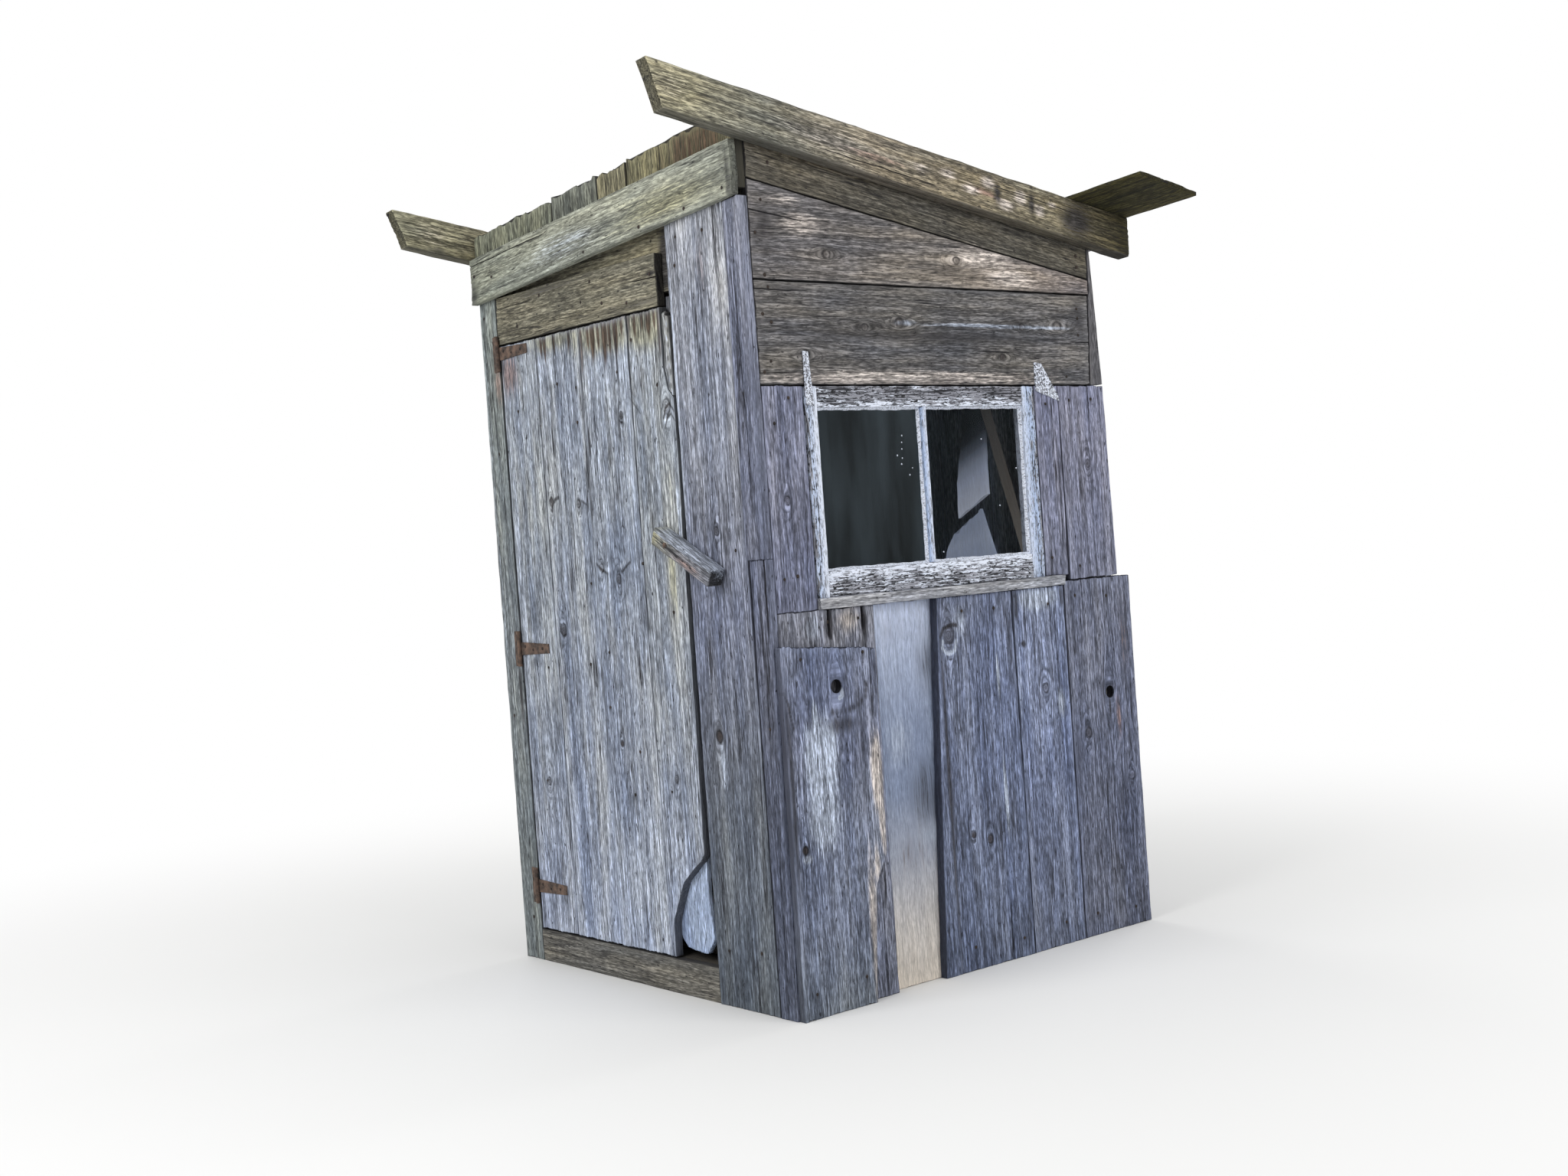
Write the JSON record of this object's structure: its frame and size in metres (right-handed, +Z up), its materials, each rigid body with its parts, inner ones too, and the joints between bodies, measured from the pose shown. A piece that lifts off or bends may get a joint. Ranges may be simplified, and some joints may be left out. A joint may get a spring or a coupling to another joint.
{
  "type": "wooden outhouse",
  "caption": "Small single slope board shed with a strap hinged plank door, a wooden turn button and a two pane side window.",
  "frame": {"origin": "on the ground, under the middle of the plan, on the under side of the middle floor joist", "axes": "the doorway faces -Y, the window side is +X, +Z is up"},
  "size_m": [1.5439, 1.6404, 2.2517],
  "materials": {
    "frame_wood": "rough sawn, dry",
    "floor_wood": "rough sawn, worn",
    "front_grey": "weathered bare boards",
    "head_brown": "weathered, olive brown",
    "fascia_green": "weathered, greenish",
    "door_grey": "weathered bare boards",
    "pale_wood": "unweathered, pale",
    "rusty_iron": "rusted",
    "button_wood": "weathered, moss stained",
    "side_brown": "weathered, brownish grey",
    "side_grey": "weathered bare boards",
    "sash_white": "flaking white paint",
    "hanger_white": "flaking white paint",
    "window_glass": "dusty, clear",
    "lower_grey": "weathered, bluish grey",
    "wall_grey": "weathered bare boards",
    "rake_brown": "weathered, brownish",
    "deck_grey": "weathered bare boards"
  },
  "bodies": {
    "outhouse": {"sill_beams": "frame_wood", "corner_posts": "frame_wood", "door_jamb_post": "frame_wood", "wall_girts": "frame_wood", "window_studs": "frame_wood", "top_plates": "frame_wood", "roof_rafters": "frame_wood", "inner_lath": "frame_wood", "floor_boards": "floor_wood", "left_corner_board": "front_grey", "wide_jamb_board": "front_grey", "near_corner_strip": "front_grey", "front_top_boards": "front_grey", "door_stop": "front_grey", "threshold_board": "front_grey", "door_head_board": "head_brown", "fascia_board": "fascia_green", "door_head_girt": "fascia_green", "lining_sheet": "pale_wood", "inner_sheets": "pale_wood", "hinge_plates": "rusty_iron", "frieze_board": "side_brown", "gable_board": "side_brown", "wide_side_board": "side_brown", "window_side_boards": "side_grey", "back_corner_strip": "side_grey", "window_sill": "side_grey", "window_sash": "sash_white", "sash_hangers": "hanger_white", "window_panes": "window_glass", "lower_front_board": "lower_grey", "patch_board": "lower_grey", "lower_middle_boards": "lower_grey", "lower_back_board": "lower_grey", "left_wall": "wall_grey", "back_wall": "wall_grey", "rake_left": "rake_brown", "rake_right": "rake_brown", "eave_plank": "rake_brown", "roof_deck": "deck_grey"},
    "door": {"door_boards": "door_grey", "door_split_strip": "door_grey", "door_ledges": "frame_wood", "door_corner_piece": "pale_wood", "hinge_straps": "rusty_iron", "button_nail": "rusty_iron"},
    "turn_button": {"turn_button": "button_wood"}
  },
  "joints": [
    {"name": "door_swing", "type": "hinge", "parent": "outhouse", "child": "door", "pos_m": [-0.5175, -0.617, 0.9], "axis": [0, 0, -1], "range_deg": [0, 105]},
    {"name": "button_turn", "type": "hinge", "parent": "door", "child": "turn_button", "pos_m": [0.283, -0.638, 1.155], "axis": [0, 1, 0], "range_deg": [-27.6, 62.4]}
  ]
}
